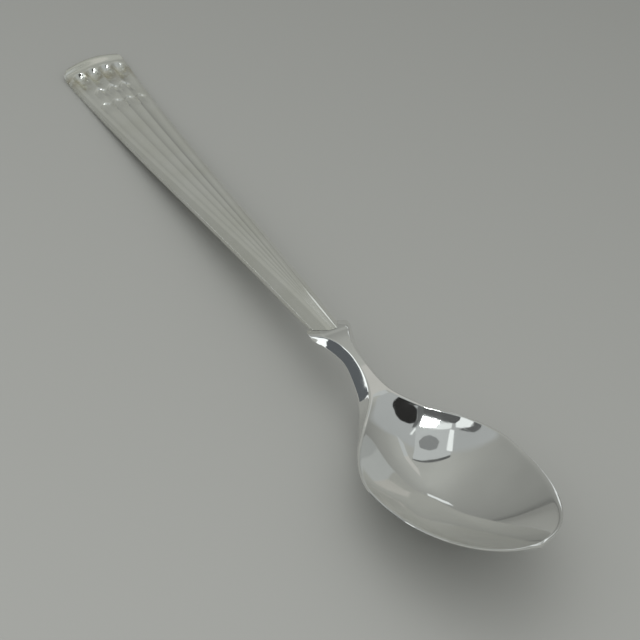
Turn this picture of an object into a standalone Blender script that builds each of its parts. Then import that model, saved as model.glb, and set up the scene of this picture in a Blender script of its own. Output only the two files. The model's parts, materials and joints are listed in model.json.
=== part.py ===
# Demitasse spoon: a fluted handle lapped and brazed to a bowl with its stem.
# Metres, +Z up, bowl towards +X, resting on Z = 0, origin at the middle of the bounding box floor.
import bpy
import math

MM = 0.001

# Lengths along the spoon, from the handle's end to the bowl's tip
HANDLE_LENGTH = 67.4 * MM
NECK_LENGTH = 11.1 * MM
BOWL_LENGTH = 27.4 * MM

# Handle: the top face narrows to the seam while the sloping sides grow wider
HANDLE_END_WIDTH = 8.7 * MM
HANDLE_SEAM_WIDTH = 1.0 * MM
SIDE_AT_END = 0.27 * MM
SIDE_AT_SEAM = 1.0 * MM
SIDE_PITCH = 1.1
HANDLE_END_THICKNESS = 1.25 * MM
HANDLE_SEAM_THICKNESS = 1.6 * MM
HANDLE_CROWN = 0.12
PAD_LENGTH = 6.0 * MM
HANDLE_RISE = 4.6 * MM
CORNER_RADIUS = 1.6 * MM
END_BOW = 0.35 * MM
END_BEVEL = 0.3 * MM

# Flutes: shallow round channels that fan out from the seam and stop short of the handle's end
FLUTE_COUNT = 4
FLUTE_RAIL = 0.4 * MM
FLUTE_HOLLOW = 0.24
FLUTE_MARGIN = 2.8 * MM
FLUTE_STEPS = 8

# Lap joint at the seam
SEAM_RAKE = 1.8
JOINT_GAP = 0.3 * MM
TONGUE_LENGTH = 6.0 * MM
TONGUE_WIDTH = 0.4 * (HANDLE_SEAM_WIDTH + 2.0 * SIDE_AT_SEAM)
TONGUE_THICKNESS = 0.28 * HANDLE_SEAM_THICKNESS

# Stem with its two shoulder tips
SHOULDER_WIDTH = 3.4 * MM
SHOULDER_TIP_HEIGHT = 0.7 * MM
SHOULDER_REACH = 5.6 * MM
SHOULDER_CURVE = 1.6
SIDE_START = 0.5
SIDE_FADE = 0.5 * MM
WAIST_WIDTH = 0.7 * MM
FLANK_HEIGHT = 1.1 * MM
FLANK_END_HEIGHT = 1.55 * MM
FLANK_LEAN = 0.63
FLANK_BULGE = 0.17
STEM_ARCH = 0.24 * MM
STEM_FALL = 1.05 * MM

# Bowl
BOWL_WIDTH = 16.1 * MM
BOWL_DEPTH = 4.6 * MM
BOWL_WALL = 0.9 * MM
RIM_LAND = 0.75 * MM
RIM_EDGE = 0.5 * MM
TIP_TRIM = 0.005 * MM
TIP_RISE = 5.1 * MM
WIDEST_SHARE = 0.43
DEEPEST_SHARE = 0.36
NECK_BLEND = 2.0 * MM
RIM_BLEND = 0.4 * MM
RIM_SLOPE = 0.68
RIM_REACH = 1.38
TIP_ROUND = 2.06
NECK_ROUND = 1.87
OUTSIDE_ROUND = 1.75
INSIDE_ROUND = 1.95

LENGTH = HANDLE_LENGTH + NECK_LENGTH + BOWL_LENGTH
HOLLOW_X = HANDLE_LENGTH + NECK_LENGTH
WIDEST_X = HOLLOW_X + WIDEST_SHARE * BOWL_LENGTH
DEEPEST_X = HOLLOW_X + DEEPEST_SHARE * BOWL_LENGTH


def clamp(t):
    return max(0.0, min(1.0, t))


def mix(a, b, t):
    return a + (b - a) * t


def ease(t):
    t = clamp(t)
    return t * t * (3.0 - 2.0 * t)


def soft_max(a, b, k):
    return 0.5 * (a + b + math.sqrt((a - b) ** 2 + k * k))


# Handle profile

def handle_bottom(x):
    s = clamp((x - PAD_LENGTH) / (HANDLE_LENGTH - PAD_LENGTH))
    return HANDLE_RISE * (0.5 * ease(s) + 0.5 * s ** 1.25)


def handle_thickness(x):
    return mix(HANDLE_END_THICKNESS, HANDLE_SEAM_THICKNESS, clamp(x / HANDLE_LENGTH))


def handle_half_width(x):
    return 0.5 * mix(HANDLE_END_WIDTH, HANDLE_SEAM_WIDTH, clamp(x / HANDLE_LENGTH))


def handle_side(x):
    return mix(SIDE_AT_END, SIDE_AT_SEAM, clamp(x / HANDLE_LENGTH) ** 1.3)


def handle_top(x):
    return handle_bottom(x) + handle_thickness(x)


SEAM_Z = handle_bottom(HANDLE_LENGTH) + 0.5 * handle_thickness(HANDLE_LENGTH)
SEAM_SHIFT = JOINT_GAP * math.sqrt(1.0 + SEAM_RAKE ** 2)


def flute_field(half):
    """Half width of the fluted strip between the two plain rails."""
    return max(half - FLUTE_RAIL, 0.2 * half)


def flute_depth(x, y, half):
    field = flute_field(half)
    if abs(y) >= field:
        return 0.0
    radius = field / FLUTE_COUNT
    share = (y + field) / (2.0 * radius)
    across = 2.0 * (share - math.floor(share)) - 1.0
    along = max(0.0, (FLUTE_MARGIN + radius - x) / radius)
    return FLUTE_HOLLOW * radius * max(0.0, 1.0 - across * across - along * along)


def handle_section(x):
    """Closed outline of the handle at station x, as (y, z) from the left lower edge over the top."""
    half = handle_half_width(x)
    side = handle_side(x)
    low = handle_bottom(x)
    top = handle_top(x)
    crown = HANDLE_CROWN * half
    if x < CORNER_RADIUS:
        inset = CORNER_RADIUS - math.sqrt(CORNER_RADIUS ** 2 - (CORNER_RADIUS - x) ** 2)
    else:
        inset = 0.0
    top -= END_BEVEL * max(0.0, 1.0 - x / END_BEVEL)
    squeeze = (half + side - inset) / (half + side)
    field = flute_field(half)
    flat = [-half]
    count = FLUTE_COUNT * FLUTE_STEPS
    for i in range(count + 1):
        flat.append(-field + 2.0 * field * i / count)
    flat.append(half)
    upper = []
    for y in flat:
        z = top - crown * (y / half) ** 2 - flute_depth(x, y, half)
        upper.append((y * squeeze, z))
    land = top - crown - side * SIDE_PITCH
    land = max(land, low + 0.2 * (top - crown - low))
    edge = (half + side) * squeeze
    slot = 0.5 * TONGUE_WIDTH + JOINT_GAP
    slot_start = HANDLE_LENGTH - TONGUE_LENGTH - JOINT_GAP
    roof = low + TONGUE_THICKNESS + JOINT_GAP if x > slot_start else low
    lower = [(edge, land), (edge, low), (slot, low), (slot, roof)]
    return upper + lower + [(-y, z) for y, z in reversed(lower)]


def handle_stations():
    xs = [0.0, 0.06 * MM, 0.15 * MM, 0.3 * MM, 0.6 * MM]
    reach = FLUTE_MARGIN + handle_half_width(0.0) / FLUTE_COUNT
    for i in range(9):
        xs.append(FLUTE_MARGIN + (reach - FLUTE_MARGIN) * i / 8.0)
    slot_start = HANDLE_LENGTH - TONGUE_LENGTH - JOINT_GAP
    for i in range(1, 4):
        xs.append(mix(reach, PAD_LENGTH, i / 3.0))
    for i in range(1, 25):
        xs.append(mix(PAD_LENGTH, slot_start, i / 24.0))
    xs.append(slot_start + 0.02 * MM)
    for i in range(1, 9):
        xs.append(mix(slot_start + 0.02 * MM, HANDLE_LENGTH, i / 8.0))
    return xs


def handle_point(x, y, z):
    half = handle_half_width(x) + handle_side(x)
    bow = END_BOW * (y / half) ** 2 * max(0.0, 1.0 - x / (30.0 * END_BOW)) ** 2
    rake = SEAM_RAKE * (z - SEAM_Z) * clamp((x - HANDLE_LENGTH + 6.0 * MM) / (6.0 * MM)) ** 2
    return (x + bow + rake, y, z)


# Stem and bowl profile

FRONT_X = HANDLE_LENGTH + SEAM_SHIFT
UNRAKE_X = FRONT_X + 0.45 * NECK_LENGTH
CREST_X = HANDLE_LENGTH + 0.43 * NECK_LENGTH
CREST_Z = handle_top(HANDLE_LENGTH) + STEM_ARCH
KEEL_X = CREST_X + 0.12 * NECK_LENGTH
RIM_LOW = BOWL_WALL + BOWL_DEPTH


def stem_line(x):
    if x > CREST_X:
        return CREST_Z - STEM_FALL * ((x - CREST_X) / (HOLLOW_X - CREST_X)) ** 2
    before = clamp((CREST_X - x) / (CREST_X - FRONT_X))
    return mix(CREST_Z, handle_top(HANDLE_LENGTH), before ** 3)


def rim_line(x):
    t = (x - WIDEST_X) / (LENGTH - WIDEST_X)
    if t > 0.0:
        return RIM_LOW + 0.2 * MM + (TIP_RISE - 0.2 * MM) * mix(t * t, t, RIM_SLOPE)
    slope = RIM_SLOPE * (TIP_RISE - 0.2 * MM) / (LENGTH - WIDEST_X)
    reach = RIM_REACH * (WIDEST_X - HOLLOW_X)
    back = min(WIDEST_X - x, reach)
    return RIM_LOW + 0.2 * MM - slope * (back - back * back / (2.0 * reach))


def top_height(x):
    if x < CREST_X:
        return stem_line(x)
    return soft_max(stem_line(x), rim_line(x), RIM_BLEND * ease((x - CREST_X) / (HOLLOW_X - CREST_X)))


def egg_half_width(x):
    if x >= WIDEST_X:
        t = clamp((x - WIDEST_X) / (LENGTH + TIP_TRIM - WIDEST_X))
        return 0.5 * BOWL_WIDTH * math.sqrt(1.0 - t ** TIP_ROUND)
    t = (WIDEST_X - x) / (WIDEST_X - HOLLOW_X)
    return 0.5 * BOWL_WIDTH * (1.0 - t ** NECK_ROUND)


def stem_half_width(x):
    near = 1.0 - clamp((x - FRONT_X) / SHOULDER_REACH)
    return 0.5 * mix(WAIST_WIDTH, SHOULDER_WIDTH, near ** SHOULDER_CURVE)


def half_width(x):
    blend = NECK_BLEND * ease((x - CREST_X) / (HOLLOW_X - CREST_X))
    if x > WIDEST_X:
        return egg_half_width(x)
    fade = ease((WIDEST_X - x) / (0.5 * (WIDEST_X - HOLLOW_X)))
    return soft_max(stem_half_width(x), egg_half_width(x), blend * fade + 1e-9)


def hollow_floor(x):
    """Height of the hollow's middle line; meets the rim line at both ends of the hollow."""
    inner_tip = LENGTH - RIM_LAND
    if x >= DEEPEST_X:
        t = clamp((x - DEEPEST_X) / (inner_tip - DEEPEST_X))
        return mix(BOWL_WALL, top_height(inner_tip), t ** 2.0)
    t = clamp((DEEPEST_X - x) / (DEEPEST_X - HOLLOW_X))
    return mix(BOWL_WALL, top_height(HOLLOW_X), t ** 2.2)


def in_hollow(x):
    return HOLLOW_X < x < LENGTH - RIM_LAND


def bottom_height(x):
    base = handle_bottom(HANDLE_LENGTH)
    if x < DEEPEST_X:
        return base * (1.0 - ease((x - KEEL_X) / (DEEPEST_X - KEEL_X)))
    t = (x - DEEPEST_X) / (LENGTH - DEEPEST_X)
    return (top_height(LENGTH) - RIM_EDGE) * t ** 2.0


TOP_STEPS = 10
LAND_STEPS = 2
OUTER_STEPS = 12


def bowl_section(x):
    """Right half of the closed outline at station x, as (y, z) from the top middle to the bottom middle."""
    half = half_width(x)
    top = top_height(x)
    low = bottom_height(x)
    body = ease((x - HOLLOW_X + 1.0 * MM) / (DEEPEST_X - HOLLOW_X))
    inner = half - RIM_LAND * min(1.0, half / (3.0 * RIM_LAND))
    if x > WIDEST_X:
        tip_t = clamp((x - WIDEST_X) / (LENGTH - RIM_LAND - WIDEST_X))
        inner = (0.5 * BOWL_WIDTH - RIM_LAND) * math.sqrt(max(0.0, 1.0 - tip_t ** TIP_ROUND))
        inner = max(inner, 0.25 * half)
    depth = max(0.0, top - hollow_floor(x)) if in_hollow(x) else 0.0
    right = []
    for i in range(TOP_STEPS + 1):
        y = inner * i / TOP_STEPS
        z = top - depth * (1.0 - (y / inner) ** INSIDE_ROUND)
        right.append((y, z))
    for i in range(1, LAND_STEPS + 1):
        y = mix(inner, half, i / LAND_STEPS)
        right.append((y, top))
    grown = 1.0 - (1.0 - SIDE_START) * math.exp(-max(0.0, x - FRONT_X) / SIDE_FADE)
    side_height = mix(SHOULDER_TIP_HEIGHT, FLANK_HEIGHT, grown)
    side_height = mix(side_height, FLANK_END_HEIGHT, ease((x - CREST_X) / (HOLLOW_X - CREST_X)))
    lean = FLANK_LEAN * grown * side_height
    toe = half + lean
    toe_z = max(top - side_height, low + 0.15 * (top - low))
    for i in range(1, OUTER_STEPS + 1):
        v = i / OUTER_STEPS
        angle = 0.5 * math.pi * v
        bowl_y = half * math.cos(angle)
        bowl_z = low + (top - low) * math.cos(angle) ** OUTSIDE_ROUND
        if v <= 0.5:
            down = v / 0.5
            stem_y = mix(half, toe, down) + FLANK_BULGE * lean * down * (1.0 - down)
            stem_z = mix(top, toe_z, down)
        else:
            turn = 0.5 * math.pi * (v - 0.5) / 0.5
            stem_y = toe * math.cos(turn)
            stem_z = toe_z - (toe_z - low) * math.sin(turn)
        right.append((mix(stem_y, bowl_y, body), mix(stem_z, bowl_z, body)))
    return right


def tongue_section():
    """Right half of the tongue's outline with as many points as a bowl section."""
    low = handle_bottom(HANDLE_LENGTH)
    half = 0.5 * TONGUE_WIDTH
    roof = TONGUE_THICKNESS
    right = []
    top_count = TOP_STEPS + LAND_STEPS
    for i in range(top_count + 1):
        right.append((half * i / top_count, roof))
    middle = OUTER_STEPS // 2
    for i in range(1, OUTER_STEPS + 1):
        if i <= middle:
            right.append((half, roof * (1.0 - i / middle)))
        else:
            right.append((half * (1.0 - (i - middle) / (OUTER_STEPS - middle)), 0.0))
    return right, low


def mirrored(right):
    left = [(-y, z) for y, z in reversed(right[1:-1])]
    return right + left


def stem_rake(x, z):
    """Slant of the stem's front, parallel to the handle's end and upright again at half the neck."""
    return SEAM_RAKE * (z - SEAM_Z) * clamp((UNRAKE_X - x) / (UNRAKE_X - FRONT_X)) ** 2


def bowl_rings():
    rings = []
    tongue, low = tongue_section()
    start = HANDLE_LENGTH - TONGUE_LENGTH
    for i in range(4):
        x = mix(start, HANDLE_LENGTH - 1.6 * MM, i / 3.0)
        base = handle_bottom(x)
        rings.append([(x, y, base + z) for y, z in mirrored(tongue)])
    base = handle_bottom(HANDLE_LENGTH)
    rings.append([(FRONT_X + SEAM_RAKE * (base + z - SEAM_Z), y, base + z) for y, z in mirrored(tongue)])
    xs = []
    for i in range(6):
        xs.append(FRONT_X + 1.5 * SIDE_FADE * i / 5.0 * (0.4 + 0.6 * i / 5.0))
    first = xs[-1]
    for i in range(1, 13):
        xs.append(mix(first, HOLLOW_X, i / 12.0))
    for i in range(1, 15):
        xs.append(mix(HOLLOW_X, WIDEST_X, i / 14.0))
    inner_tip = LENGTH - RIM_LAND
    for i in range(1, 17):
        xs.append(WIDEST_X + (inner_tip - WIDEST_X) * math.sin(0.5 * math.pi * i / 16.0))
    for share in (0.3, 0.6, 0.85, 1.0):
        xs.append(mix(inner_tip, LENGTH, share))
    for x in xs:
        rings.append([(x + stem_rake(x, z), y, z) for y, z in mirrored(bowl_section(x))])
    return rings


def loft(name, rings, material):
    """Closed body through the rings, with fans over both ends."""
    verts = []
    faces = []
    count = len(rings[0])
    for ring in rings:
        verts.extend(ring)
    for r in range(len(rings) - 1):
        for i in range(count):
            j = (i + 1) % count
            a = r * count
            b = a + count
            faces.append((a + i, b + i, b + j, a + j))
    faces.append(tuple(range(count)))
    last = (len(rings) - 1) * count
    faces.append(tuple(reversed(range(last, last + count))))
    shift = 0.5 * LENGTH
    mesh = bpy.data.meshes.new(name)
    mesh.from_pydata([(x - shift, y, z) for x, y, z in verts], [], faces)
    mesh.validate()
    mesh.update()
    body = bpy.data.objects.new(name, mesh)
    bpy.context.scene.collection.objects.link(body)
    for poly in mesh.polygons:
        poly.use_smooth = True
    mesh.set_sharp_from_angle(angle=math.radians(32.0))
    mesh.materials.append(material)
    return body


def metal(name, colour, roughness):
    mat = bpy.data.materials.new(name)
    mat.use_nodes = True
    shader = mat.node_tree.nodes["Principled BSDF"]
    shader.inputs["Base Color"].default_value = (*colour, 1.0)
    shader.inputs["Metallic"].default_value = 1.0
    shader.inputs["Roughness"].default_value = roughness
    mat.diffuse_color = (*colour, 1.0)
    mat.metallic = 1.0
    mat.roughness = roughness
    return mat


for old in list(bpy.data.objects):
    bpy.data.objects.remove(old)

handle_rings = []
for station in handle_stations():
    handle_rings.append([handle_point(station, y, z) for y, z in handle_section(station)])

loft("handle", handle_rings, metal("handle_silver", (0.78, 0.76, 0.72), 0.22))
loft("bowl", bowl_rings(), metal("bowl_silver", (0.82, 0.81, 0.79), 0.08))
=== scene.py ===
import json
import math

import bpy
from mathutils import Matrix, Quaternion, Vector

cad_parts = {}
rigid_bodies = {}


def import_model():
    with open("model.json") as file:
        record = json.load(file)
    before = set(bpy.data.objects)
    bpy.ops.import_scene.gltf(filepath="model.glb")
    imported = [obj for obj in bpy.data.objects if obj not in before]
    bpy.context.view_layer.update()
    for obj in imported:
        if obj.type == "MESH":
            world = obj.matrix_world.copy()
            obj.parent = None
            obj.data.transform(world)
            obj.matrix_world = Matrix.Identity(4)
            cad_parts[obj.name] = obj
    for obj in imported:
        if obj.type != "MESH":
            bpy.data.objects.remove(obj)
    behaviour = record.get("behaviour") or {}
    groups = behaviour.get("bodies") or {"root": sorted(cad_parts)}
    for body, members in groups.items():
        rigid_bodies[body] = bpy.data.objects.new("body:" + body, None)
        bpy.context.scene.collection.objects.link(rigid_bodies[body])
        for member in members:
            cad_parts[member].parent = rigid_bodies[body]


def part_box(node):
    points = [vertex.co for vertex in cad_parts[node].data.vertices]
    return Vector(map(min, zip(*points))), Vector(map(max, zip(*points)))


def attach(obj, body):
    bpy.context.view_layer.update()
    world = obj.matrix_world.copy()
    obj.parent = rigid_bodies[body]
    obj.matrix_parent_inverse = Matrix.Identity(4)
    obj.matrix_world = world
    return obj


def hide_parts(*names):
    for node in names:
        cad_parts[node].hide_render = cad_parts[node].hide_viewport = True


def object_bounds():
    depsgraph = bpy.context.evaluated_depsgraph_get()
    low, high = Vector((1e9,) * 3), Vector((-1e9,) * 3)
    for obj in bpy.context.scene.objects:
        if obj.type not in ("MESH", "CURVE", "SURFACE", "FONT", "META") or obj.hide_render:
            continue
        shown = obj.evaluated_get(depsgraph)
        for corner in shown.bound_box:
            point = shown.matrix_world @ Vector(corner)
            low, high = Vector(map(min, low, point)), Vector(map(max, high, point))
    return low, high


for old in list(bpy.data.objects):
    bpy.data.objects.remove(old)
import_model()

MM = 0.001
TINY = 1e-9
cad_low, cad_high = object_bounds()
handle_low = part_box("handle")[0]
bowl_low, bowl_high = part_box("bowl")
bowl_middle = 0.5 * (bowl_low + bowl_high)

# Lengths along the spoon, from the handle's end to the bowl's tip
LENGTH = cad_high.x - cad_low.x
HANDLE_LENGTH = 67.4 * MM
NECK_LENGTH = 11.1 * MM
BOWL_LENGTH = LENGTH - HANDLE_LENGTH - NECK_LENGTH

# Handle: a fluted top between two slanted side facets
HANDLE_END_WIDTH = 8.7 * MM
HANDLE_SEAM_WIDTH = 1.0 * MM
SIDE_AT_END = 0.27 * MM
SIDE_AT_SEAM = 1.0 * MM
SIDE_POWER = 1.3
SIDE_PITCH = 0.95
HANDLE_END_THICKNESS = 1.25 * MM
HANDLE_SEAM_THICKNESS = 1.6 * MM
THICKNESS_LEAST = 0.2
HANDLE_CROWN = 0.12
PAD_LENGTH = 6.0 * MM
HANDLE_RISE = 4.6 * MM
RISE_POWER = 1.25
CORNER_RADIUS = 1.6 * MM
END_BOW = 0.15 * MM
END_BOW_LENGTH = 30.0 * END_BOW
END_SKEW = 0.9 * MM
END_SKEW_LENGTH = 14.0 * MM
END_ROUND = 0.35 * MM
ARRIS_SOFT = 0.1 * MM
ARRIS_SHARES = (-0.35, -0.12, 0.0, 0.12, 0.35, 0.6)
EDGE_SOFT = 0.04 * MM
EDGE_SHARE = 0.4
EDGE_STEPS = 3

# Flutes, which stop in deep scoops behind a bead at the handle's end
FLUTE_COUNT = 4
FLUTE_STEPS = 16
FLUTE_RAIL = 0.4 * MM
FLUTE_FIELD_LEAST = 0.2
FLUTE_HOLLOW = 0.24
FLUTE_MARGIN = 2.0 * MM
BEAD_X = 0.6 * MM
BEAD_LENGTH = 1.0 * MM
BEAD_HEIGHT = 0.4 * MM
SCOOP_END = 1.0 * MM
SCOOP_X = 3.4 * MM
SCOOP_LENGTH = 2.2 * MM
SCOOP_DEPTH = 3.1
STEP_X = 10.5 * MM
STEP_LENGTH = 1.8 * MM
STEP_DEPTH = 0.45
RIDGE_SOFT = 0.12
RIDGE_LOW = 0.12 * MM
RIDGE_LOW_X = SCOOP_X + 0.8 * SCOOP_LENGTH
RIDGE_LOW_LENGTH = 0.6 * SCOOP_LENGTH
RIDGE_LOW_POWER = 6

# Rows of notches behind the scoops: place along the handle, shift across in flute widths, depth
NOTCH_ROWS = ((7.0 * MM, 0.5, 0.28 * MM), (10.9 * MM, 0.0, 0.21 * MM))
NOTCH_FRONT = 0.36 * MM
NOTCH_LENGTH = 3.0 * MM
NOTCH_BOW = 0.95 * MM
NOTCH_POINT = 1.25
NOTCH_STEPS = 24

# Joint: a raked seam, and a tongue of the bowl's stem in a slot under the handle
SEAM_RAKE = 1.8
SEAM_RAKE_LENGTH = 6.0 * MM
SEAM_LINE = 0.05 * MM
JOINT_GAP = 0.3 * MM
TONGUE_LENGTH = 6.0 * MM
TONGUE_ROOT = 1.6 * MM
TONGUE_WIDTH = 0.4 * (HANDLE_SEAM_WIDTH + 2.0 * SIDE_AT_SEAM)
TONGUE_THICKNESS = 0.28 * HANDLE_SEAM_THICKNESS
SLOT_HALF = 0.5 * TONGUE_WIDTH + JOINT_GAP
SLOT_ROOF = TONGUE_THICKNESS + JOINT_GAP
SLOT_START = HANDLE_LENGTH - TONGUE_LENGTH - JOINT_GAP
SLOT_DRAFT = 0.02 * MM

# Stem: flared shoulders, then a narrow arched ridge between leaning flanks
SHOULDER_WIDTH = 3.0 * MM
SHOULDER_TIP_HEIGHT = 0.7 * MM
SHOULDER_REACH = 5.6 * MM
SHOULDER_CURVE = 1.6
WAIST_WIDTH = 0.7 * MM
FLANK_HEIGHT = 1.1 * MM
FLANK_END_HEIGHT = 1.55 * MM
FLANK_FADE = 0.5 * MM
FLANK_LEAN = 0.68
FLANK_BULGE = 0.06
FLANK_SHARE = 0.5
NOSE_LENGTH = 1.2 * MM
NOSE_LEAN = 0.84
NOSE_FADE = 1.5 * MM
FOOT_LEAN = 0.09
TOE_LEAST = 0.15
STEM_ARCH = 0.24 * MM
STEM_FALL = 1.05 * MM
STEM_SOFT = 0.2 * MM
CREST_SHARE = 0.43
KEEL_SHARE = 0.12
UNRAKE_SHARE = 0.45

# Bowl
BOWL_WIDTH = bowl_high.y - bowl_low.y
BOWL_DEPTH = 4.6 * MM
BOWL_WALL = 0.9 * MM
BODY_LEAD = 1.0 * MM
RIM_LAND = 0.4 * MM
RIM_LAND_GROWTH = 3.0
RIM_INNER_SOFT = 0.06 * MM
RIM_TIP_SOFT = 0.3 * MM
RIM_TIP_FADE = 0.3 * BOWL_LENGTH
RIM_INNER_MOST = 0.3
RIM_EDGE = 0.5 * MM
RIM_SOFT = 0.18 * MM
RIM_LIFT = 0.2 * MM
RIM_BLEND = 0.4 * MM
RIM_SLOPE = 0.68
RIM_REACH = 1.38
TIP_TRIM = 0.005 * MM
TIP_RISE = 5.1 * MM
TIP_ROUND = 2.06
NECK_ROUND = 1.87
NECK_BLEND = 2.0 * MM
NECK_FADE = 0.5
WIDEST_SHARE = 0.43
DEEPEST_SHARE = 0.36
OUTSIDE_ROUND = 1.75
INSIDE_ROUND = 1.8
INSIDE_LEAST = 0.25
ENTRY_ROUND = 0.5 * MM
ENTRY_LENGTH = 4.0 * MM
TIP_FLOOR_POWER = 1.65
NECK_FLOOR_POWER = 2.2
KEEL_POWER = 2.0
SOFT_OF_LAND = 0.45
SOFT_OF_INSIDE = 0.8
SOFT_OF_HEIGHT = 0.3
EDGE_PROBE = 0.02
EDGE_PROBE_MOST = 0.3
HOLLOW_STEPS = 24
CORNER_STEPS = 5
OUTER_STEPS = 28
SHARP_ANGLE = math.radians(38.0)

# Camera, fitted to the photo's view
CAMERA_PLACE = Vector((117.1, -59.58, 111.31)) * MM
CAMERA_LOOK = Vector((-0.6501, 0.3719, -0.6626))
CAMERA_ROLL = math.radians(1.77)
CAMERA_LENS = 84.375
CAMERA_SENSOR = 36.0
CAMERA_CLIP = 0.001

# Silver: clean and dull colour, least and most roughness, depth of the scratches
HANDLE_FINISH = ((0.86, 0.86, 0.82), (0.81, 0.81, 0.75), 0.07, 0.15, 0.25)
BOWL_FINISH = ((0.85, 0.85, 0.83), (0.80, 0.80, 0.78), 0.03, 0.07, 0.2)
METALLIC = 0.98
PATCH_SCALE = 160.0
PATCH_RANGE = (0.35, 0.62)
POLISH_SCALE = 900.0
POLISH_RANGE = (0.3, 0.75)
SCRATCH_SCALE = 5000.0
SCRATCH_RANGE = (0.62, 0.8)
SCRATCH_HEIGHT = 0.004 * MM

# Brown film in the scoops: colour, most cover, and where it starts and ends along and above the handle
FILM_COLOUR = (0.42, 0.36, 0.22, 1.0)
FILM_MOST = 0.55
FILM_SCALE = 700.0
FILM_RANGE = (0.42, 0.6)
FILM_START = handle_low.x + FLUTE_MARGIN
FILM_RISE = (FILM_START + 0.6 * MM, FILM_START + 1.6 * MM)
FILM_FALL = (FILM_START + 2.2 * MM, FILM_START + 5.5 * MM)
FILM_HEIGHT = (0.08 * HANDLE_END_THICKNESS, 0.16 * HANDLE_END_THICKNESS)

# Floor and light
FLOOR_HALF = 3.0
# Floor colours at its near and far sides, with the direction between them: painted light and painted shade,
# standing in for the light falling off across the floor
FLOOR_PAINTED_LIGHT_NEAR = (0.448, 0.456, 0.431, 1.0)
FLOOR_PAINTED_SHADE_FAR = (0.260, 0.266, 0.249, 1.0)
FLOOR_PAINTED_LIGHT_SLOPE = (0.59, -0.81, 0.0)
FLOOR_ROUGHNESS = 0.9
FLOOR_SPECULAR = 0.1
KEY_PLACE = Vector((-0.4, 0.2, 1.0))
KEY_SIZE = 0.8
KEY_POWER = 1.0

# Tent: tone of its walls by height, the even tone low on the near side, and its light
TENT_TINT = (0.972, 1.0, 0.945)
TENT_STEPS = (
    (0.0, 0.15), (0.04, 0.24), (0.12, 0.27), (0.3, 0.31), (0.5, 0.35),
    (0.66, 0.395), (0.8, 0.43), (0.9, 0.44), (1.0, 0.40))
TENT_FILL = 1.15
TENT_LOW = 0.25
NEAR_AZIMUTH = -30.0
NEAR_SLOPE = 0.45
NEAR_TONE = 0.43
NEAR_EDGE = (-0.37, -0.27)

# Cards and flags that only the polished metal sees, from the farthest to the nearest:
# tint, tone, then the azimuth and elevation of each corner in degrees
COOL = (0.95, 1.0, 1.0)
WARM = (1.0, 1.0, 0.95)
SLATE = (0.9, 1.0, 1.08)
PANEL_DISTANCE = 2.0
CARD_DISTANCE = 0.72 * PANEL_DISTANCE
CARD_STEP = 0.015 * PANEL_DISTANCE
CARDS = {
    "panel": (COOL, 0.52, ((-58, 44), (-84, 38), (-121, 52), (-134, 74), (108, 75), (-27, 85), (-50, 60))),
    "panel_middle": (COOL, 0.25, (
        (-74, 56), (-84, 54), (-93, 55), (-102, 61), (-100, 69), (-85, 75), (-71, 77), (-60, 71), (-67, 62))),
    "panel_top": (COOL, 0.9, ((-58, 44), (-84, 38), (-88, 41), (-57, 54))),
    "panel_lamp": (COOL, 16.0, ((-58, 44), (-74, 40.5), (-74, 46), (-57, 54))),
    "panel_side": (COOL, 1.0, ((-88, 42), (-93, 41), (-117, 50), (-112, 54))),
    "panel_edge": (COOL, 1.0, ((-28, 69), (-48, 58), (-50, 60), (-36, 69))),
    "upper_flag": (COOL, 0.10, ((-56, 39), (-62, 34), (-75, 33), (-88, 34), (-88, 37), (-69, 40), (-58, 43))),
    "low_light": (COOL, 1.0, ((-87, 37), (-88, 33), (-100, 32), (-102, 34), (-97, 37), (-91, 39))),
    "side_flag": (COOL, 0.12, ((-96, 39), (-98, 36.5), (-102, 34), (-104, 31), (-110, 31), (-109, 34))),
    "grey_flag": (COOL, 0.13, ((-44, 38), (-57, 39), (-57, 45), (-49, 57), (-38, 60), (-42, 53), (-49, 48))),
    "dark_flag": (WARM, 0.012, (
        (6, 46), (1, 48.5), (-2, 50), (-15, 53), (-30, 55), (-43, 53), (-48, 48), (-45, 41), (-36, 38),
        (-30, 39), (-24, 41), (-15, 42), (-5, 43.5))),
    "panel_shade": (COOL, 0.10, ((-121, 52), (-125, 53), (-140, 75), (106, 77), (108, 75), (-134, 73))),
    "neck_light": (WARM, 0.53, ((92, 56), (136, 56), (136, 68), (92, 69))),
    "entry_light": (COOL, 0.52, ((46, 58), (92, 57), (92, 69), (46, 72))),
    "horizon_flag": (SLATE, 0.11, (
        (-146, -20), (-92, -20), (-92, 22), (-104, 27), (-110, 20), (-116, 15.5), (-122, 13), (-128, 10.8),
        (-134, 8), (-146, 5))),
    "line_light": (COOL, 1.3, (
        (-142, 5.5), (-134, 8), (-128, 10.8), (-122, 13), (-116, 15.5), (-110, 20), (-104, 27), (-92, 22),
        (-92, 27), (-104, 31), (-110, 27), (-116, 22), (-122, 18), (-130, 14), (-142, 9.5))),
    "horizon_light": (COOL, 1.3, (
        (-105, -20), (-60, -20), (-60, 6), (-97, 7), (-101, 9), (-104, 8.5), (-105, 6))),
    "rim_light": (COOL, 1.2, ((-151, -2), (-146, -2), (-146, 8), (-151, 8))),
}

# Card close above the handle, which lights the flat top of the bowl's rim
RIM_CARD_DISTANCE = 0.06
RIM_CARD = (COOL, 0.85, ((158, 17), (150, 18.5), (138, 20.5), (138, 25), (150, 24), (158, 22)))


def clamp(t):
    return max(0.0, min(1.0, t))


def mix(a, b, t):
    return a + (b - a) * t


def ease(t):
    t = clamp(t)
    return t * t * (3.0 - 2.0 * t)


def hump(x, place, length):
    return math.exp(-((x - place) / length) ** 2)


def soft_max(a, b, k):
    return 0.5 * (a + b + math.sqrt((a - b) ** 2 + k * k))


def spread(a, b, steps):
    """Values from a to b in even steps, both ends included."""
    return [mix(a, b, i / steps) for i in range(steps + 1)]


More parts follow.
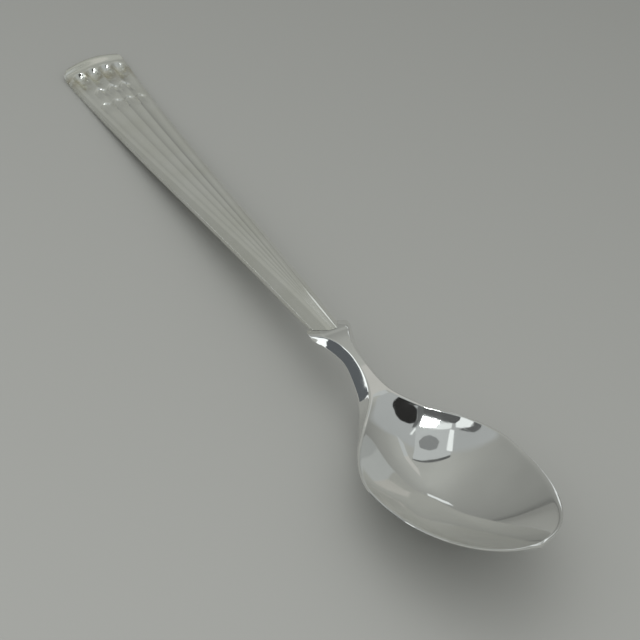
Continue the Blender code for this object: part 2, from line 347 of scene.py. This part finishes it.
def arc(a, corner, b, steps):
    """Points of a round corner from a to b, drawn towards the corner point."""
    points = []
    for t in spread(0.0, 1.0, steps):
        points.append(tuple(
            (1.0 - t) ** 2 * p + 2.0 * t * (1.0 - t) * q + t * t * r
            for p, q, r in zip(a, corner, b)))
    return points


# Handle

def handle_bottom(x):
    s = clamp((x - PAD_LENGTH) / (HANDLE_LENGTH - PAD_LENGTH))
    return HANDLE_RISE * (0.5 * ease(s) + 0.5 * s ** RISE_POWER)


def handle_thickness(x):
    return mix(HANDLE_END_THICKNESS, HANDLE_SEAM_THICKNESS, clamp(x / HANDLE_LENGTH))


def handle_half_width(x):
    return 0.5 * mix(HANDLE_END_WIDTH, HANDLE_SEAM_WIDTH, clamp(x / HANDLE_LENGTH))


def handle_side(x):
    return mix(SIDE_AT_END, SIDE_AT_SEAM, clamp(x / HANDLE_LENGTH) ** SIDE_POWER)


def handle_top(x):
    return handle_bottom(x) + handle_thickness(x)


SEAM_Z = handle_bottom(HANDLE_LENGTH) + 0.5 * handle_thickness(HANDLE_LENGTH)


def dressed_top(x):
    """Height of the top's middle line, rounded off at the handle's end and raised there by the bead."""
    fall = 1.0 - math.sqrt(1.0 - max(0.0, 1.0 - x / END_ROUND) ** 2)
    return handle_top(x) - END_ROUND * fall + BEAD_HEIGHT * (1.0 - ease((x - BEAD_X) / BEAD_LENGTH))


def corner_inset(x):
    """How far the round corners of the handle's end draw its sides in."""
    if x >= CORNER_RADIUS:
        return 0.0
    return CORNER_RADIUS - math.sqrt(CORNER_RADIUS ** 2 - (CORNER_RADIUS - x) ** 2)


def flute_field(half):
    """Half width of the band that the flutes cover."""
    return max(half - FLUTE_RAIL, FLUTE_FIELD_LEAST * half)


def flute_depth(x, field):
    """Depth of a flute's middle: deepest in the scoop, shallow at the step behind it."""
    scoop = hump(x, SCOOP_X, SCOOP_LENGTH) if x > FLUTE_MARGIN else 0.0
    depth = FLUTE_HOLLOW * field / FLUTE_COUNT
    return depth * (1.0 + SCOOP_DEPTH * scoop - STEP_DEPTH * hump(x, STEP_X, STEP_LENGTH))


def flute_share(x, y, field):
    """Depth of the flutes at a point, from 0 on the ridges and rails to 1 in the middle of a flute."""
    if abs(y) >= field:
        return 0.0
    radius = field / FLUTE_COUNT
    share = (y + field) / (2.0 * radius)
    across = 2.0 * (share - math.floor(share)) - 1.0
    along = max(0.0, (FLUTE_MARGIN + SCOOP_END - x) / SCOOP_END)
    round_depth = max(0.0, 1.0 - across * across - along * along)
    return math.sqrt(round_depth ** 2 + RIDGE_SOFT ** 2) - RIDGE_SOFT


def ridge_drop(x, y, field):
    """How far the ridges are lowered behind the scoops."""
    return RIDGE_LOW * hump(x, RIDGE_LOW_X, RIDGE_LOW_LENGTH) * max(0.0, 1.0 - (y / field) ** RIDGE_LOW_POWER)


def notch_depth(x, y, field):
    """Depth of the two rows of pointed notches: the first row on the ridges, the second in the flutes."""
    pitch = 2.0 * field / FLUTE_COUNT
    total = 0.0
    for place, shift, depth in NOTCH_ROWS:
        if abs(y) < field - shift * pitch:
            share = (y + field) / pitch + shift
            across = 2.0 * (share - math.floor(share)) - 1.0
            along = x - place - NOTCH_BOW * abs(across) ** NOTCH_POINT
            notch = ease(along / NOTCH_FRONT) * (1.0 - ease(along / NOTCH_LENGTH))
            total += depth * notch * (1.0 - across ** 4)
    return total


def upper_z(x, y):
    """Height of the handle's upper skin at station x, y to the side of the middle line."""
    half = handle_half_width(x)
    field = flute_field(half)
    low = handle_bottom(x)
    top = dressed_top(x)
    crown = HANDLE_CROWN * half
    past = abs(y) - half
    turn = soft_max(past, 0.0, ARRIS_SOFT) - 0.5 * ARRIS_SOFT * math.exp(-abs(past) / ARRIS_SOFT)
    share = flute_share(x, y, field)
    z = top - crown * min(1.0, abs(y) / half) ** 2 - SIDE_PITCH * max(0.0, turn)
    z -= flute_depth(x, field) * share
    z -= notch_depth(x, y, field)
    z -= ridge_drop(x, y, field) * (1.0 - share)
    return max(z, low + THICKNESS_LEAST * (top - crown - low))


def upper_row(x):
    """Places across the top from left to right, close together in the flutes and round the arrises."""
    half = handle_half_width(x)
    side = handle_side(x)
    field = flute_field(half)
    inner = min(half - field, side)
    right = [mix(field, half, 0.5)]
    right += [half + share * (inner if share < 0.0 else side) for share in ARRIS_SHARES]
    right.append(half + side - EDGE_SOFT)
    return [-y for y in reversed(right)] + spread(-field, field, FLUTE_COUNT * FLUTE_STEPS) + right


def lower_row(count, reach):
    """Places across the underside from right to left; the slot's walls keep to the same points all along."""
    side = count // 3
    right = spread(reach, SLOT_HALF + SLOT_DRAFT, side - 1)
    middle = spread(SLOT_HALF, -SLOT_HALF, count - 2 * side - 1)
    return right + middle + [-y for y in reversed(right)]


def handle_ring(x):
    """Closed outline at station x: the top row, the right wall, the bottom row and the left wall."""
    low = handle_bottom(x)
    edge = handle_half_width(x) + handle_side(x)
    squeeze = (edge - corner_inset(x)) / edge
    roof = SLOT_ROOF if x > SLOT_START else 0.0
    row = upper_row(x)
    upper = [(y * squeeze, upper_z(x, y)) for y in row]
    lower = []
    for y in lower_row(len(row), row[-1]):
        lower.append((y * squeeze, low + (roof if abs(y) <= SLOT_HALF else 0.0)))
    wall_top = upper_z(x, edge)
    soft = min(EDGE_SOFT, EDGE_SHARE * (wall_top - low))
    corner = (edge * squeeze, wall_top)
    foot = (edge * squeeze, low)
    wall = arc(upper[-1], corner, (corner[0], wall_top - soft), EDGE_STEPS)[1:]
    wall += arc((foot[0], low + soft), foot, lower[0], EDGE_STEPS)[:-1]
    return upper + wall + lower + [(-y, z) for y, z in reversed(wall)], len(row)


def handle_point(x, y, z):
    """Place of an outline's point, with the end bowed and slanted in plan and the seam raked."""
    half = handle_half_width(x) + handle_side(x)
    bow = END_BOW * (y / half) ** 2 * max(0.0, 1.0 - x / END_BOW_LENGTH) ** 2
    skew = 0.5 * END_SKEW * (1.0 - y / half) * ease(1.0 - x / END_SKEW_LENGTH)
    near_seam = clamp((x - HANDLE_LENGTH + SEAM_RAKE_LENGTH) / SEAM_RAKE_LENGTH)
    rake = SEAM_RAKE * (z - SEAM_Z) * near_seam ** 2
    return (x + bow + skew + rake, y, z)


def handle_stations():
    """Stations along the handle, close together at its end, in the scoops and at the notches."""
    bead_end = BEAD_X + BEAD_LENGTH
    scoop_start = FLUTE_MARGIN + SCOOP_END
    step_end = STEP_X + 2.0 * STEP_LENGTH
    xs = [END_ROUND * (1.0 - math.cos(0.5 * math.pi * t)) for t in spread(0.0, 1.0, 6)[:-1]]
    xs += spread(END_ROUND, bead_end, 10)[:-1]
    xs += spread(bead_end, FLUTE_MARGIN, 4)[:-1]
    xs += spread(FLUTE_MARGIN, scoop_start, 16)[:-1]
    xs += spread(scoop_start, step_end, 36)[:-1]
    xs += spread(step_end, SLOT_START, 50)
    xs += spread(SLOT_START + SLOT_DRAFT, HANDLE_LENGTH, 14)
    for place, shift, depth in NOTCH_ROWS:
        xs += spread(place, place + NOTCH_BOW + NOTCH_FRONT, NOTCH_STEPS)
    return sorted(xs)


# Stem and bowl

FRONT_X = HANDLE_LENGTH + JOINT_GAP * math.sqrt(1.0 + SEAM_RAKE ** 2)
SEAM_X = HANDLE_LENGTH + SEAM_LINE
UNRAKE_X = FRONT_X + UNRAKE_SHARE * NECK_LENGTH
CREST_X = HANDLE_LENGTH + CREST_SHARE * NECK_LENGTH
CREST_Z = handle_top(HANDLE_LENGTH) + STEM_ARCH
KEEL_X = CREST_X + KEEL_SHARE * NECK_LENGTH
HOLLOW_X = HANDLE_LENGTH + NECK_LENGTH
WIDEST_X = HOLLOW_X + WIDEST_SHARE * BOWL_LENGTH
DEEPEST_X = HOLLOW_X + DEEPEST_SHARE * BOWL_LENGTH
INNER_TIP = LENGTH - RIM_LAND
RIM_LOW = BOWL_WALL + BOWL_DEPTH + RIM_LIFT


def past_crest(x):
    """Share of the way from the stem's crest to the hollow, eased at both ends."""
    return ease((x - CREST_X) / (HOLLOW_X - CREST_X))


def stem_line(x):
    if x > CREST_X:
        return CREST_Z - STEM_FALL * ((x - CREST_X) / (HOLLOW_X - CREST_X)) ** 2
    before = clamp((CREST_X - x) / (CREST_X - FRONT_X))
    return mix(CREST_Z, handle_top(HANDLE_LENGTH), before ** 3)


def rim_line(x):
    rise = TIP_RISE - RIM_LIFT
    t = (x - WIDEST_X) / (LENGTH - WIDEST_X)
    if t > 0.0:
        return RIM_LOW + rise * mix(t * t, t, RIM_SLOPE)
    slope = RIM_SLOPE * rise / (LENGTH - WIDEST_X)
    reach = RIM_REACH * (WIDEST_X - HOLLOW_X)
    back = min(WIDEST_X - x, reach)
    return RIM_LOW - slope * (back - back * back / (2.0 * reach))


def top_height(x):
    if x < CREST_X:
        return stem_line(x)
    return soft_max(stem_line(x), rim_line(x), RIM_BLEND * past_crest(x))


def egg_half_width(x):
    if x >= WIDEST_X:
        t = clamp((x - WIDEST_X) / (LENGTH + TIP_TRIM - WIDEST_X))
        return 0.5 * BOWL_WIDTH * math.sqrt(1.0 - t ** TIP_ROUND)
    t = (WIDEST_X - x) / (WIDEST_X - HOLLOW_X)
    return 0.5 * BOWL_WIDTH * (1.0 - t ** NECK_ROUND)


def stem_half_width(x):
    near = 1.0 - clamp((x - FRONT_X) / SHOULDER_REACH)
    return 0.5 * mix(WAIST_WIDTH, SHOULDER_WIDTH, near ** SHOULDER_CURVE)


def half_width(x):
    if x > WIDEST_X:
        return egg_half_width(x)
    fade = ease((WIDEST_X - x) / (NECK_FADE * (WIDEST_X - HOLLOW_X)))
    return soft_max(stem_half_width(x), egg_half_width(x), NECK_BLEND * past_crest(x) * fade + TINY)


def hollow_floor(x):
    """Height of the hollow's middle line; meets the rim line at both ends of the hollow."""
    if x >= DEEPEST_X:
        t = clamp((x - DEEPEST_X) / (INNER_TIP - DEEPEST_X))
        return mix(BOWL_WALL, top_height(INNER_TIP), t ** TIP_FLOOR_POWER)
    t = clamp((DEEPEST_X - x) / (DEEPEST_X - HOLLOW_X))
    return mix(BOWL_WALL, top_height(HOLLOW_X), t ** NECK_FLOOR_POWER)


def hollow_depth(x):
    """Depth of the hollow's middle below the rim line, with a rounded start at the neck."""
    if not HOLLOW_X < x < INNER_TIP:
        return 0.0
    depth = max(0.0, top_height(x) - hollow_floor(x))
    entry = ENTRY_ROUND * (1.0 - ease((x - HOLLOW_X) / ENTRY_LENGTH))
    return math.hypot(depth, entry) - entry


def bottom_height(x):
    if x < DEEPEST_X:
        return handle_bottom(HANDLE_LENGTH) * (1.0 - ease((x - KEEL_X) / (DEEPEST_X - KEEL_X)))
    t = (x - DEEPEST_X) / (LENGTH - DEEPEST_X)
    return (top_height(LENGTH) - RIM_EDGE) * t ** KEEL_POWER


def inner_half_width(x, half):
    if x <= WIDEST_X:
        return half - RIM_LAND * min(1.0, half / (RIM_LAND_GROWTH * RIM_LAND))
    t = clamp((x - WIDEST_X) / (INNER_TIP - WIDEST_X))
    return max((0.5 * BOWL_WIDTH - RIM_LAND) * math.sqrt(1.0 - t ** TIP_ROUND), INSIDE_LEAST * half)


def flank_size(x):
    """Height of the stem's flank at station x, and how far its foot stands out."""
    behind = max(0.0, x - FRONT_X)
    height = mix(SHOULDER_TIP_HEIGHT, FLANK_HEIGHT, 1.0 - math.exp(-behind / FLANK_FADE))
    height = mix(height, FLANK_END_HEIGHT, past_crest(x))
    lean = 1.0 + NOSE_LEAN * math.exp(-behind / NOSE_FADE) + FOOT_LEAN * past_crest(x)
    return height, lean * FLANK_LEAN * height


def stem_point(x, v, half, edge_z):
    """Point of the stem's outside: down the flank, then round the underside."""
    low = bottom_height(x)
    height, lean = flank_size(x)
    toe = half + lean
    toe_z = max(edge_z - height, low + TOE_LEAST * (edge_z - low))
    if v <= FLANK_SHARE:
        t = v / FLANK_SHARE
        return (mix(half, toe, t) + FLANK_BULGE * lean * t * (1.0 - t), mix(edge_z, toe_z, t))
    turn = 0.5 * math.pi * (v - FLANK_SHARE) / (1.0 - FLANK_SHARE)
    return (toe * math.cos(turn), toe_z - (toe_z - low) * math.sin(turn))


def outer_point(x, v, half, edge_z):
    """Point of the outside at station x: v runs from the rim or the stem's upper edge, 0, to the keel, 1."""
    low = bottom_height(x)
    angle = 0.5 * math.pi * v
    bowl_y = half * math.cos(angle)
    bowl_z = low + (edge_z - low) * max(0.0, math.cos(angle)) ** OUTSIDE_ROUND
    stem_y, stem_z = stem_point(x, v, half, edge_z)
    body = ease((x - HOLLOW_X + BODY_LEAD) / (DEEPEST_X - HOLLOW_X))
    return (mix(stem_y, bowl_y, body), mix(stem_z, bowl_z, body))


def edge_soft(x, half, inner):
    """Rounding of the rim's or the stem's upper edge, held back where the section is small."""
    rim = ease((x - HOLLOW_X) / (WIDEST_X - HOLLOW_X))
    height = top_height(x) - bottom_height(x)
    room = min(SOFT_OF_LAND * (half - inner), SOFT_OF_INSIDE * inner, SOFT_OF_HEIGHT * height)
    return min(mix(STEM_SOFT, RIM_SOFT, rim), room)


def bowl_section(x):
    """Right half of the closed outline at station x, from the top middle to the bottom middle."""
    half = half_width(x)
    top = top_height(x)
    inner = inner_half_width(x, half)
    depth = hollow_depth(x)
    soft = edge_soft(x, half, inner)
    inner_soft = mix(RIM_INNER_SOFT, RIM_TIP_SOFT, ease((x - DEEPEST_X) / RIM_TIP_FADE))
    reach = min(inner_soft, RIM_INNER_MOST * inner)
    land = min(soft, reach)

    def top_point(y):
        return (y, top - depth * (1.0 - min(1.0, y / inner) ** INSIDE_ROUND))

    right = [top_point(y) for y in spread(0.0, inner - reach, HOLLOW_STEPS)[:-1]]
    right += arc(top_point(inner - reach), top_point(inner), top_point(inner + land), CORNER_STEPS)
    near = math.dist(outer_point(x, EDGE_PROBE, half, top), (half, top))
    first = min(EDGE_PROBE * soft / max(near, TINY), EDGE_PROBE_MOST)
    right += arc(top_point(half - soft), (half, top), outer_point(x, first, half, top), CORNER_STEPS)
    right += [outer_point(x, v, half, top) for v in spread(first, 1.0, OUTER_STEPS)[1:]]
    return right


def tongue_section(count):
    """Right half of the tongue's outline above the handle's underside, with count points."""
    half = 0.5 * TONGUE_WIDTH
    top_count = HOLLOW_STEPS + 2 * CORNER_STEPS + 1
    wall_count = (count - 1 - top_count) // 2
    right = [(y, TONGUE_THICKNESS) for y in spread(0.0, half, top_count)]
    right += [(half, z) for z in spread(TONGUE_THICKNESS, 0.0, wall_count)[1:]]
    right += [(y, 0.0) for y in spread(half, 0.0, count - 1 - top_count - wall_count)[1:]]
    return right


def mirrored(right):
    return right + [(-y, z) for y, z in reversed(right[1:-1])]


def stem_rake(x, z):
    return SEAM_RAKE * (z - SEAM_Z) * clamp((UNRAKE_X - x) / (UNRAKE_X - FRONT_X)) ** 2


def bowl_stations():
    """Stations along the stem and bowl, close together at the shoulders, at the tip and in the hollow."""
    nose_end = FRONT_X + NOSE_LENGTH
    xs = [SEAM_X, mix(SEAM_X, FRONT_X, 0.5)]
    xs += [FRONT_X + NOSE_LENGTH * t ** 2 for t in spread(0.0, 1.0, 14)[:-1]]
    xs += spread(nose_end, HOLLOW_X, 40)[:-1]
    xs += spread(HOLLOW_X, WIDEST_X, 44)[:-1]
    xs += [mix(WIDEST_X, INNER_TIP, math.sin(0.5 * math.pi * t)) for t in spread(0.0, 1.0, 44)[:-1]]
    xs += [mix(INNER_TIP, LENGTH, math.sin(0.5 * math.pi * t)) for t in spread(0.0, 1.0, 8)]
    return xs


def bowl_rings():
    xs = bowl_stations()
    tongue = mirrored(tongue_section(len(bowl_section(xs[0]))))
    rings = []
    for x in spread(HANDLE_LENGTH - TONGUE_LENGTH, HANDLE_LENGTH - TONGUE_ROOT, 4):
        base = handle_bottom(x)
        rings.append([(x, y, base + z) for y, z in tongue])
    base = handle_bottom(HANDLE_LENGTH)
    rings.append([(SEAM_X + SEAM_RAKE * (base + z - SEAM_Z), y, base + z) for y, z in tongue])
    for x in xs:
        rings.append([(x + stem_rake(x, z), y, z) for y, z in mirrored(bowl_section(x))])
    return rings


def skin(name, rings, caps):
    """Closed smooth body through rings of points, with the given faces over its two ends."""
    count = len(rings[0])
    verts = [(x + cad_low.x, y, z) for ring in rings for x, y, z in ring]
    faces = []
    for r in range(len(rings) - 1):
        a = r * count
        b = a + count
        for i in range(count):
            j = (i + 1) % count
            faces.append((a + i, b + i, b + j, a + j))
    last = (len(rings) - 1) * count
    for face in caps:
        faces.append(tuple(face))
        faces.append(tuple(last + i for i in reversed(face)))
    mesh = bpy.data.meshes.new(name)
    mesh.from_pydata(verts, [], faces)
    mesh.validate()
    for poly in mesh.polygons:
        poly.use_smooth = True
    mesh.set_sharp_from_angle(angle=SHARP_ANGLE)
    body = bpy.data.objects.new(name, mesh)
    bpy.context.scene.collection.objects.link(body)
    return body


def handle_skin():
    rings = []
    for x in handle_stations():
        outline, row = handle_ring(x)
        rings.append([handle_point(x, y, z) for y, z in outline])
    count = len(rings[0])
    wall = count // 2 - row
    caps = []
    for i in range(row - 1):
        caps.append((i, i + 1, 2 * row + wall - 2 - i, 2 * row + wall - 1 - i))
    caps.append(range(row - 1, row + wall + 1))
    caps.append([*range(2 * row + wall - 1, count), 0])
    return skin("handle_skin", rings, caps)


def bowl_skin():
    rings = bowl_rings()
    count = len(rings[0])
    middle = count // 2
    caps = [(i, i + 1, count - i - 1, (count - i) % count) for i in range(1, middle - 1)]
    caps = [(0, 1, count - 1)] + caps + [(middle - 1, middle, middle + 1)]
    return skin("bowl_skin", rings, caps)


# Materials

def node(tree, kind, **values):
    made = tree.nodes.new(kind)
    for key, value in values.items():
        setattr(made, key, value)
    return made


def noise(tree, place, stretch, scale, detail):
    """Noise over the object's own coordinates, stretched by the given scale on each axis."""
    mapping = node(tree, "ShaderNodeMapping")
    mapping.inputs["Scale"].default_value = stretch
    tree.links.new(place.outputs["Object"], mapping.inputs["Vector"])
    texture = node(tree, "ShaderNodeTexNoise")
    texture.inputs["Scale"].default_value = scale
    texture.inputs["Detail"].default_value = detail
    tree.links.new(mapping.outputs["Vector"], texture.inputs["Vector"])
    return texture.outputs["Fac"]


def remap(tree, source, low, high, to_low, to_high):
    made = node(tree, "ShaderNodeMapRange")
    for name, value in (("From Min", low), ("From Max", high), ("To Min", to_low), ("To Max", to_high)):
        made.inputs[name].default_value = value
    tree.links.new(source, made.inputs["Value"])
    return made.outputs["Result"]


def combine(tree, operation, a, b):
    made = node(tree, "ShaderNodeMath", operation=operation)
    tree.links.new(a, made.inputs[0])
    tree.links.new(b, made.inputs[1])
    return made.outputs["Value"]


def film_over(tree, place, colour):
    """The given colour with a broken brown film on the upper side near the handle's end."""
    split = node(tree, "ShaderNodeSeparateXYZ")
    tree.links.new(place.outputs["Object"], split.inputs["Vector"])
    rise = remap(tree, split.outputs["X"], *FILM_RISE, 0.0, 1.0)
    fall = remap(tree, split.outputs["X"], *FILM_FALL, 1.0, 0.0)
    upper = remap(tree, split.outputs["Z"], *FILM_HEIGHT, 0.0, 1.0)
    zone = combine(tree, "MULTIPLY", combine(tree, "MULTIPLY", rise, fall), upper)
    patches = noise(tree, place, (1.0, 1.0, 1.0), FILM_SCALE, 3.0)
    broken = remap(tree, patches, *FILM_RANGE, 0.0, FILM_MOST)
    mixed = node(tree, "ShaderNodeMix", data_type="RGBA")
    tree.links.new(combine(tree, "MULTIPLY", zone, broken), mixed.inputs["Factor"])
    tree.links.new(colour, mixed.inputs["A"])
    mixed.inputs["B"].default_value = FILM_COLOUR
    return mixed.outputs["Result"]


def scratches(tree, place, depth):
    """Hairline scratches along the spoon, as a bump."""
    hairs = noise(tree, place, (0.05, 1.0, 1.0), SCRATCH_SCALE, 2.0)
    bump = node(tree, "ShaderNodeBump")
    bump.inputs["Strength"].default_value = depth
    bump.inputs["Distance"].default_value = SCRATCH_HEIGHT
    tree.links.new(remap(tree, hairs, *SCRATCH_RANGE, 0.0, 1.0), bump.inputs["Height"])
    return bump.outputs["Normal"]


def silver(name, clean, dull, smooth, worn, scratch_depth, film):
    """Polished silver: slight dullness in patches, hairline scratches along the spoon, uneven polish."""
    mat = bpy.data.materials.new(name)
    mat.use_nodes = True
    tree = mat.node_tree
    shader = tree.nodes["Principled BSDF"]
    shader.inputs["Metallic"].default_value = METALLIC
    place = node(tree, "ShaderNodeTexCoord")
    ramp = node(tree, "ShaderNodeValToRGB")
    for step, position, colour in zip(ramp.color_ramp.elements, PATCH_RANGE, (dull, clean)):
        step.position = position
        step.color = (*colour, 1.0)
    tree.links.new(noise(tree, place, (1.0, 1.0, 1.0), PATCH_SCALE, 4.0), ramp.inputs["Fac"])
    colour = ramp.outputs["Color"]
    if film:
        colour = film_over(tree, place, colour)
    tree.links.new(colour, shader.inputs["Base Color"])
    polish = noise(tree, place, (0.4, 1.0, 1.0), POLISH_SCALE, 5.0)
    tree.links.new(remap(tree, polish, *POLISH_RANGE, smooth, worn), shader.inputs["Roughness"])
    tree.links.new(scratches(tree, place, scratch_depth), shader.inputs["Normal"])
    return mat


# Stage

def stage_plane(name, corners, mat):
    mesh = bpy.data.meshes.new(name)
    mesh.from_pydata(corners, [], [range(len(corners))])
    mesh.materials.append(mat)
    made = bpy.data.objects.new(name, mesh)
    bpy.context.scene.collection.objects.link(made)
    return made


def floor():
    """Pale floor with painted light: its colour runs lighter on the near side and darker on the far side,
    standing in for how the light falls across it.
    """
    mat = bpy.data.materials.new("floor")
    mat.use_nodes = True
    tree = mat.node_tree
    shader = tree.nodes["Principled BSDF"]
    shader.inputs["Roughness"].default_value = FLOOR_ROUGHNESS
    shader.inputs["Specular IOR Level"].default_value = FLOOR_SPECULAR
    place = node(tree, "ShaderNodeTexCoord")
    towards = node(tree, "ShaderNodeVectorMath", operation="DOT_PRODUCT")
    towards.inputs[1].default_value = FLOOR_PAINTED_LIGHT_SLOPE
    tree.links.new(place.outputs["Object"], towards.inputs[0])
    across = remap(tree, towards.outputs["Value"], -LENGTH, LENGTH, 0.0, 1.0)
    # Painted light and shade: the ramp darkens the floor's colour towards the far side and lightens it
    # towards the near side
    ramp = node(tree, "ShaderNodeValToRGB")
    ramp.color_ramp.elements[0].color = FLOOR_PAINTED_SHADE_FAR
    ramp.color_ramp.elements[1].color = FLOOR_PAINTED_LIGHT_NEAR
    tree.links.new(across, ramp.inputs["Fac"])
    tree.links.new(ramp.outputs["Color"], shader.inputs["Base Color"])
    h = FLOOR_HALF
    stage_plane("floor", [(-h, -h, 0.0), (h, -h, 0.0), (h, h, 0.0), (-h, h, 0.0)], mat)


def direction(azimuth, elevation):
    a = math.radians(azimuth)
    e = math.radians(elevation)
    return Vector((math.cos(e) * math.cos(a), math.cos(e) * math.sin(a), math.sin(e)))


def toned(tint, tone):
    return (*(tone * c for c in tint), 1.0)


def card(name, tint, tone, corners, distance):
    """Flat glowing or dark card round the bowl, which only mirror rays see."""
    mat = bpy.data.materials.new(name)
    mat.use_nodes = True
    tree = mat.node_tree
    tree.nodes.clear()
    glow = node(tree, "ShaderNodeEmission")
    glow.inputs["Color"].default_value = toned(tint, tone)
    out = node(tree, "ShaderNodeOutputMaterial")
    tree.links.new(glow.outputs["Emission"], out.inputs["Surface"])
    made = stage_plane(name, [bowl_middle + distance * direction(*corner) for corner in corners], mat)
    made.visible_camera = False
    made.visible_diffuse = False
    made.visible_shadow = False
    made.visible_transmission = False


def cards():
    """The panel, then the other cards before it, each a step nearer, and the close card for the rim."""
    for order, (name, values) in enumerate(CARDS.items()):
        card(name, *values, CARD_DISTANCE - CARD_STEP * order if order else PANEL_DISTANCE)
    card("rim_card", *RIM_CARD, RIM_CARD_DISTANCE)


def tent_walls(tree, place, height):
    """Colour of the tent's walls: a tone for each height, and one even tone low on the near side."""
    ramp = node(tree, "ShaderNodeValToRGB")
    steps = ramp.color_ramp.elements
    while len(steps) < len(TENT_STEPS):
        steps.new(0.5)
    for step, (position, tone) in zip(steps, TENT_STEPS):
        step.position = position
        step.color = toned(TENT_TINT, tone)
    tree.links.new(height, ramp.inputs["Fac"])
    towards = node(tree, "ShaderNodeVectorMath", operation="DOT_PRODUCT")
    towards.inputs[1].default_value = direction(NEAR_AZIMUTH, 0.0) - Vector((0.0, 0.0, NEAR_SLOPE))
    tree.links.new(place.outputs["Generated"], towards.inputs[0])
    walls = node(tree, "ShaderNodeMix", data_type="RGBA")
    tree.links.new(remap(tree, towards.outputs["Value"], *NEAR_EDGE, 0.0, 1.0), walls.inputs["Factor"])
    tree.links.new(ramp.outputs["Color"], walls.inputs["A"])
    walls.inputs["B"].default_value = toned(COOL, NEAR_TONE)
    return walls.outputs["Result"]


def tent():
    """Even light from all round; polished metal and the camera see the tent's pale grey walls."""
    world = bpy.data.worlds.new("tent")
    bpy.context.scene.world = world
    world.use_nodes = True
    tree = world.node_tree
    tree.nodes.clear()
    place = node(tree, "ShaderNodeTexCoord")
    split = node(tree, "ShaderNodeSeparateXYZ")
    tree.links.new(place.outputs["Generated"], split.inputs["Vector"])
    height = split.outputs["Z"]
    seen = node(tree, "ShaderNodeBackground")
    tree.links.new(tent_walls(tree, place, height), seen.inputs["Color"])
    fill_ramp = node(tree, "ShaderNodeValToRGB")
    fill_ramp.color_ramp.elements[0].color = (TENT_LOW, TENT_LOW, TENT_LOW, 1.0)
    tree.links.new(height, fill_ramp.inputs["Fac"])
    fill = node(tree, "ShaderNodeBackground")
    fill.inputs["Strength"].default_value = TENT_FILL
    tree.links.new(fill_ramp.outputs["Color"], fill.inputs["Color"])
    rays = node(tree, "ShaderNodeLightPath")
    either = combine(tree, "MAXIMUM", rays.outputs["Is Camera Ray"], rays.outputs["Is Glossy Ray"])
    chosen = node(tree, "ShaderNodeMixShader")
    tree.links.new(either, chosen.inputs["Fac"])
    tree.links.new(fill.outputs["Background"], chosen.inputs[1])
    tree.links.new(seen.outputs["Background"], chosen.inputs[2])
    out = node(tree, "ShaderNodeOutputWorld")
    tree.links.new(chosen.outputs["Shader"], out.inputs["Surface"])


def key_light():
    """Large soft lamp above the spoon, which the polished metal doesn't show."""
    data = bpy.data.lights.new("key_light", "AREA")
    data.size = KEY_SIZE
    data.energy = KEY_POWER
    lamp = bpy.data.objects.new("key_light", data)
    lamp.location = KEY_PLACE
    lamp.rotation_euler = (-KEY_PLACE).to_track_quat("-Z", "Y").to_euler()
    lamp.visible_glossy = False
    bpy.context.scene.collection.objects.link(lamp)


def camera():
    data = bpy.data.cameras.new("camera")
    data.lens = CAMERA_LENS
    data.sensor_width = CAMERA_SENSOR
    data.clip_start = CAMERA_CLIP
    made = bpy.data.objects.new("camera", data)
    made.location = CAMERA_PLACE
    made.rotation_mode = "QUATERNION"
    roll = Quaternion((0.0, 0.0, 1.0), CAMERA_ROLL)
    made.rotation_quaternion = CAMERA_LOOK.to_track_quat("-Z", "Y") @ roll
    bpy.context.scene.collection.objects.link(made)
    bpy.context.scene.camera = made


camera()
floor()
tent()
key_light()
cards()
bpy.context.scene.view_settings.view_transform = "Standard"

handle = handle_skin()
handle.data.materials.append(silver("handle_silver", *HANDLE_FINISH, film=True))
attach(handle, "root")
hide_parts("handle")

bowl = bowl_skin()
bowl.data.materials.append(silver("bowl_silver", *BOWL_FINISH, film=False))
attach(bowl, "root")
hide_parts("bowl")
